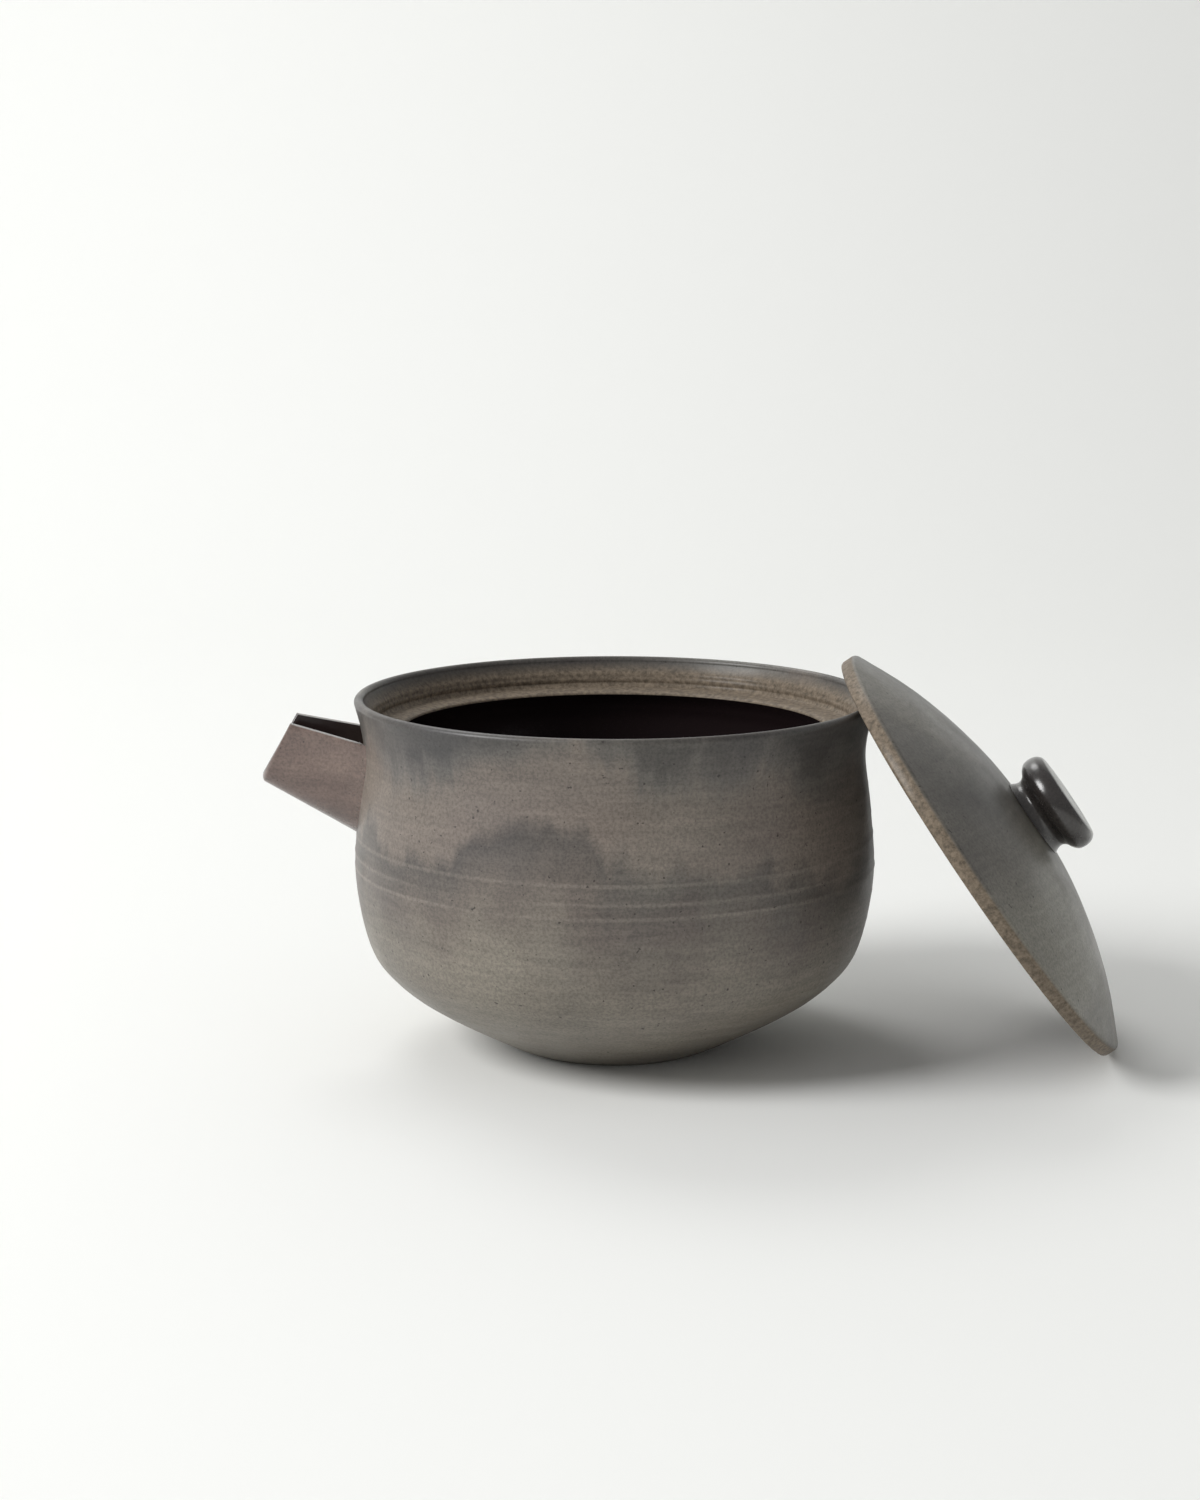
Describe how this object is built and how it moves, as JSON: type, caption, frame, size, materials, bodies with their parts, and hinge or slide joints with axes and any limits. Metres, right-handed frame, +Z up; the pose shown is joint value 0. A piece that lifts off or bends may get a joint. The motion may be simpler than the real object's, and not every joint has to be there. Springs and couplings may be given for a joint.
{
  "type": "sake pitcher",
  "caption": "Round stoneware pouring bowl with an open spout and a domed, knobbed lid that leans on its rim.",
  "frame": {"origin": "centre of the flat foot on the table", "axes": "+Z up out of the bowl, +X away from the spout towards the leaning lid, -Y the pictured side"},
  "size_m": [0.2062, 0.1252, 0.0937],
  "materials": {
    "smoked_glaze": "satin smoked ash glaze on dark stoneware",
    "spout_glaze": "satin pinkish brown glaze",
    "lid_glaze": "satin grey glaze with a bare clay band",
    "knob_glaze": "dark glossy glaze"
  },
  "bodies": {
    "pot": {"pot_body": "smoked_glaze", "spout": "spout_glaze"},
    "lid": {"lid": "lid_glaze", "lid_knob": "knob_glaze"}
  },
  "joints": [
    {"name": "lid_lift", "type": "slide", "parent": "pot", "child": "lid", "axis": [0, 0, 1], "range_m": [0, 0.14]}
  ]
}
